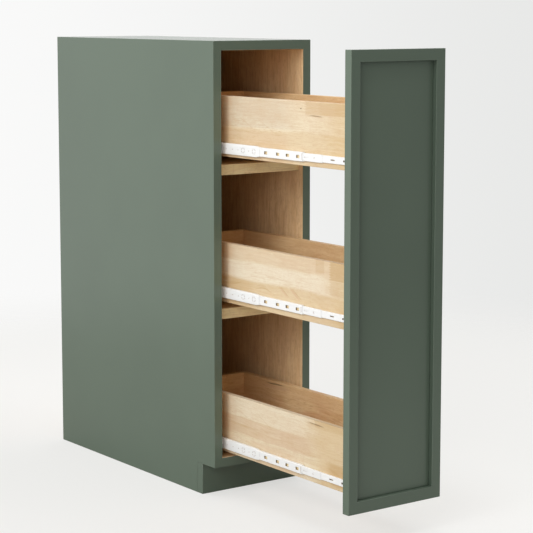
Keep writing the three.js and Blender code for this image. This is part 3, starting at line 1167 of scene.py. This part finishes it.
def taper(bm, front_y, middle_z, share):
    """Draws the member's front end in to a share of its height."""
    divide(bm, 1, (front_y + TAPER,))
    for vertex in bm.verts:
        near = 1 - (vertex.co.y - front_y) / TAPER
        if near > 0:
            scale = 1 - near * (1 - share)
            vertex.co.z = middle_z + (vertex.co.z - middle_z) * scale


PAD = (3.9 * MM, 6.6 * MM)
PAD_LEAD = 0.7 * MM
PAD_ARRIS = 0.4 * MM


def build_pads(level, hand):
    """Raised pads on the drawer's side, which the drawer member is seated over."""
    side = SIDES[hand]
    node = f"{level}_{hand}_slide_drawer_member"
    low, high = corners(node)
    box_low, box_high = corners(f"{level}_drawer_{hand}_side")
    face_x = box_low.x if side < 0 else box_high.x
    middle_z = (low.z + high.z) / 2
    rise, height = PAD
    bm = bmesh.new()
    for setback in WINDOWS:
        start, end = window_span(level, hand, setback)
        seat = (face_x, start - PAD_LEAD, middle_z - height / 2)
        add_block(bm, seat, (face_x + side * rise, end, middle_z + height / 2))
    soften(bm, PAD_ARRIS, lambda point: abs(point.x - face_x) > TOUCH)
    give_grain(bm, f"{node}_pads", "lengthwise")
    put(f"{level}_drawer_{hand}_side_pads", bm, "pullout", [planed])


SEAM_ANGLE = math.radians(35)
SLANT = 0.4


def soften_seams(bm):
    """Keeps the pressed corners smooth and the cut edges crisp."""
    for edge in bm.edges:
        edge.smooth = len(edge.link_faces) == 2 and edge.calc_face_angle(0) < SEAM_ANGLE


def member_body(level, hand, member):
    """The body that one of a slide's members rides on."""
    ends = {"cabinet_member": "carcass", "drawer_member": "pullout"}
    return ends.get(member, f"{level}_{hand}_{member}")


def pressed_member(level, hand, member, low, high):
    """A member's channel, its front end shaped, and the place of its web's outer face."""
    side = SIDES[hand]
    inner_x, outer_x = (high.x, low.x) if side < 0 else (low.x, high.x)
    sheet, radius = SHEETS[member]
    middle_z = (low.z + high.z) / 2
    half = (high.z - low.z) / 2
    outline = channel_outline(abs(outer_x - inner_x), half, sheet, radius)
    loop = [Vector((inner_x + side * x, low.y, middle_z + z)) for x, z in outline]
    bm = solid(loop, Vector((0, high.y - low.y, 0)))
    if member == "cabinet_member":
        trim(bm, low.y, outer_x)
    else:
        feather(bm, low.y, outer_x, side, sheet)
    if member == "outer_cage":
        inner_low, inner_high = corners(f"{level}_{hand}_slide_intermediate")
        taper(bm, low.y, middle_z, (inner_high.z - inner_low.z) / (2 * half))
    return bm, outer_x


def build_member(level, hand, member):
    """One pressed member, its openings cut, in its CAD node's place."""
    node = f"{level}_{hand}_slide_{member}"
    low, high = corners(node)
    bm, web_x = pressed_member(level, hand, member, low, high)
    cutters = web_cutters(level, hand, member, web_x, low.y, (low.z + high.z) / 2)
    if cutters.verts:
        bm = carve(bm, cutters)
    else:
        cutters.free()
    bm.normal_update()
    for face in bm.faces:
        face.smooth = abs(face.normal.y) < SLANT
    soften_seams(bm)
    body = member_body(level, hand, member)
    put(f"{node}_steel", bm, body, [steel, edge_and_shade_steel], [node])


BALL_PITCH = 9 * MM
BALL_MARGIN = 6 * MM
BALL_PLAY = 0.03 * MM
BALL_SEATS = {
    "outer_cage": ("cabinet_member", "intermediate"),
    "inner_cage": ("intermediate", "drawer_member"),
}


def ball_seat(level, hand, cage):
    """The height of the upper row of balls and their radius, from the flanges round them."""
    outer, inner = BALL_SEATS[cage]
    outer_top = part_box(f"{level}_{hand}_slide_{outer}")[1][2] - SHEETS[outer][0]
    inner_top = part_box(f"{level}_{hand}_slide_{inner}")[1][2]
    return (outer_top + inner_top) / 2, (outer_top - inner_top) / 2 - BALL_PLAY


def build_balls(level, hand):
    """The steel balls that the two cages hold between the members' flanges."""
    for cage in BALL_SEATS:
        node = f"{level}_{hand}_slide_{cage}"
        low, high = corners(node)
        middle_x = (low.x + high.x) / 2
        upper_z, radius = ball_seat(level, hand, cage)
        lower_z = low.z + high.z - upper_z
        count = int((high.y - low.y - 2 * BALL_MARGIN - TAPER) / BALL_PITCH)
        bm = bmesh.new()
        for i in range(count + 1):
            y = low.y + TAPER + BALL_MARGIN + i * BALL_PITCH
            for z in (lower_z, upper_z):
                place = Matrix.Translation((middle_x, y, z))
                bmesh.ops.create_icosphere(bm, subdivisions=2, radius=radius, matrix=place)
        for face in bm.faces:
            face.smooth = True
        put(f"{node}_balls", bm, member_body(level, hand, cage), [zinc])


# ---- Fixings ----

HEAD_RADIUS = 3.6 * MM
HEAD_HEIGHT = 1.7 * MM
# The share of a quarter circle that the dome's rings draw in by, so that its top is flat.
HEAD_CURVE = 0.78
CROSS = (3.4 * MM, 0.8 * MM, 1.1 * MM)
HEAD_SEGMENTS = 24
HEAD_RINGS = 4


def screw_head():
    """A low domed head with a cross recess, its face up and its seat at the origin."""
    bm = bmesh.new()
    rings = []
    for i in range(HEAD_RINGS + 1):
        angle = math.pi / 2 * i / HEAD_RINGS
        radius = HEAD_RADIUS * math.cos(angle * HEAD_CURVE)
        height = HEAD_HEIGHT * math.sin(angle)
        turns = round_angles(HEAD_SEGMENTS)
        ring = [(radius * math.cos(a), radius * math.sin(a), height) for a in turns]
        rings.append([bm.verts.new(point) for point in ring])
    for lower, upper in zip(rings, rings[1:]):
        for j, vertex in enumerate(lower):
            k = (j + 1) % HEAD_SEGMENTS
            bm.faces.new((vertex, lower[k], upper[k], upper[j]))
    bm.faces.new(rings[-1])
    bm.faces.new(rings[0][::-1])
    length, width, depth = CROSS
    for a, b in ((length, width), (width, length)):
        low = (-a / 2, -b / 2, HEAD_HEIGHT - depth)
        bm = carve(bm, block(low, (a / 2, b / 2, 2 * HEAD_HEIGHT)))
    for face in bm.faces:
        face.smooth = True
        face.material_index = 0
    soften_seams(bm)
    mesh = bpy.data.meshes.new("screw_head")
    bm.to_mesh(mesh)
    bm.free()
    return mesh


def put_screws(name, places, facing, body, template):
    """Copies of the screw head at each place, all facing one way."""
    turn = Vector(facing).to_track_quat("Z", "Y").to_matrix().to_4x4()
    bm = bmesh.new()
    for place in places:
        copy = template.copy()
        copy.transform(Matrix.Translation(place) @ turn)
        bm.from_mesh(copy)
        bpy.data.meshes.remove(copy)
    put(name, bm, body, [zinc])


# The screws' places: either side of a box's middle, and back from a member's front end.
BOX_SCREW_SPREAD = 34 * MM
MEMBER_SCREWS = (35 * MM, 260 * MM, 500 * MM)


def build_screws():
    """Two inside each drawer's front, and three in each member on the carcass."""
    head = screw_head()
    for level in LEVELS:
        low, high = corners(f"{level}_drawer_front")
        height = (low.z + high.z) / 2
        places = [Vector((x, high.y, height)) for x in (-BOX_SCREW_SPREAD, BOX_SCREW_SPREAD)]
        put_screws(f"{level}_drawer_front_screws", places, (0, 1, 0), "pullout", head)
        for hand, side in SIDES.items():
            node = f"{level}_{hand}_slide_cabinet_member"
            low, high = corners(node)
            wall = low.x if side < 0 else high.x
            x = wall - side * SHEETS["cabinet_member"][0]
            middle_z = (low.z + high.z) / 2
            places = [Vector((x, low.y + setback, middle_z)) for setback in MEMBER_SCREWS]
            put_screws(f"{node}_screws", places, (-side, 0, 0), "carcass", head)
    bpy.data.meshes.remove(head)


DOWEL_RADIUS = 3 * MM
DOWEL_PROUD = 0.08 * MM
DOWEL_DEPTH = 2 * MM
DOWEL_SEGMENTS = 24
DOWELS = 3


def build_dowels(level):
    """The ends of the dowels that hold each box's corners, flush with its sides."""
    for hand, side in SIDES.items():
        node = f"{level}_drawer_{hand}_side"
        low, high = corners(node)
        face = low.x if side < 0 else high.x
        bm = bmesh.new()
        for end in ("front", "back"):
            end_low, end_high = corners(f"{level}_drawer_{end}")
            y = (end_low.y + end_high.y) / 2
            for i in range(DOWELS):
                z = low.z + (high.z - low.z) * (i + 1) / (DOWELS + 1)
                inside = Vector((face - side * DOWEL_DEPTH, y, z))
                outside = Vector((face + side * DOWEL_PROUD, y, z))
                add_mesh(bm, round_bar(inside, outside, DOWEL_RADIUS, DOWEL_SEGMENTS))
        give_grain(bm, f"{node}_dowels", "upright")
        put(f"{node}_dowels", bm, "pullout", [birch])


BUMPER_RADIUS = 3.5 * MM
BUMPER_HEIGHT = 1.9 * MM
BUMPER_INSET = 4.6 * MM
BUMPER_HEIGHTS = (0.12, 0.45, 0.835)
DOME = {"u_segments": 20, "v_segments": 10, "radius": BUMPER_RADIUS}


def build_bumpers():
    """Clear domes on the back of the front, where it meets the carcass edges."""
    _, stile_high = corners("front_right_stile")
    bm = bmesh.new()
    for height in BUMPER_HEIGHTS:
        for side in SIDES.values():
            x = side * (stile_high.x - BUMPER_INSET)
            place = Matrix.Translation((x, stile_high.y, height))
            dome = bmesh.ops.create_uvsphere(bm, **DOME, matrix=place)
            for vertex in dome["verts"]:
                proud = max(vertex.co.y - stile_high.y, 0)
                vertex.co.y = stile_high.y + proud / BUMPER_RADIUS * BUMPER_HEIGHT
    for face in bm.faces:
        face.smooth = True
    put("front_bumpers", bm, "pullout", [rubber])


make_camera()
make_lights()
make_world()
make_floor()
build_side_panels()
build_level_boards()
build_shelves()
build_back()
build_toe_board()
build_front()
for level in LEVELS:
    build_drawer(level)
    build_dowels(level)
    for hand in SIDES:
        for member in SHEETS:
            build_member(level, hand, member)
        build_balls(level, hand)
        build_pads(level, hand)
build_screws()
build_bumpers()
